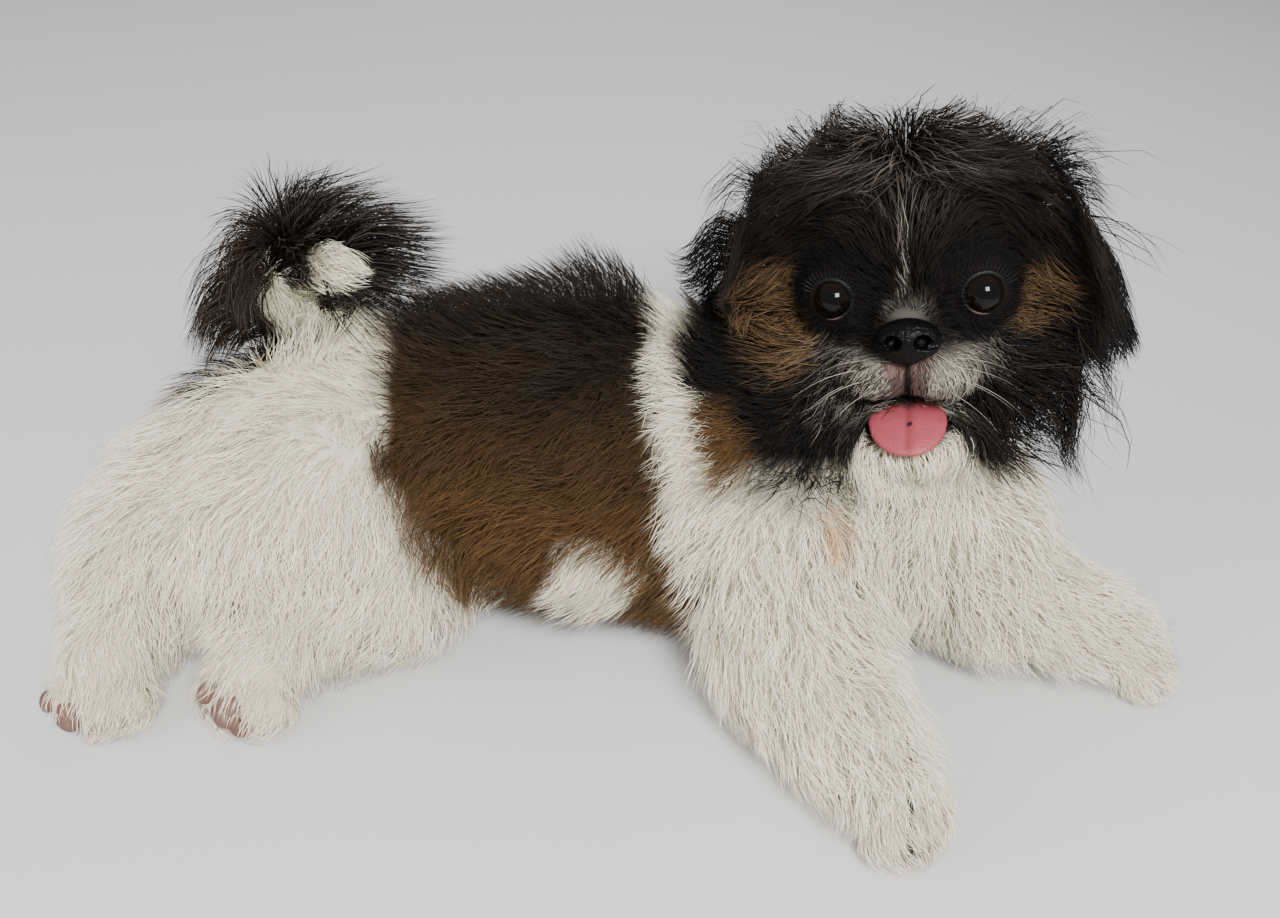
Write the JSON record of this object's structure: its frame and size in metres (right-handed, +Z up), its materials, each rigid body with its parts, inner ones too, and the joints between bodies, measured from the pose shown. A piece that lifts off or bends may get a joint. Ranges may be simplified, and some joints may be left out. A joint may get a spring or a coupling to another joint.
{
  "type": "shih tzu puppy lying down",
  "caption": "Still life-size shih tzu puppy on its belly, head raised and mouth open, forelegs spread, tail curled up, with a long coat of overlapping locks.",
  "frame": {"origin": "on the floor, on the flat underside of the belly, under the middle of the trunk", "axes": "+Z up, +X along the trunk from the rump to the breast, +Y to the puppy's left"},
  "size_m": [0.3841, 0.2128, 0.1746],
  "materials": {
    "dark_coat": "soft long black and dark brown puppy hair, matt with a faint sheen",
    "brown_coat": "soft long rusty brown puppy hair that darkens along the spine",
    "white_coat": "soft wavy warm white puppy hair",
    "nose_leather": "moist black pebbled nose leather",
    "tongue": "moist pink tongue with fine papillae",
    "eye": "wet glossy dark brown eye",
    "bare_skin": "bare skin of the lids, lips and pads, soft and slightly moist"
  },
  "bodies": {
    "root": {"head": "dark_coat", "muzzle": "white_coat", "jaw": "white_coat", "nose": "nose_leather", "tongue": "tongue", "eye_left": "eye", "eye_right": "eye", "ear_left": "dark_coat", "ear_right": "dark_coat", "neck": "dark_coat", "torso": "brown_coat", "tail": "dark_coat", "foreleg_left": "white_coat", "foreleg_right": "white_coat", "forepaw_left": "white_coat", "forepaw_right": "white_coat", "hind_leg_left": "white_coat", "hind_leg_right": "white_coat", "hind_paw_left": "white_coat", "hind_paw_right": "white_coat"}
  },
  "joints": []
}
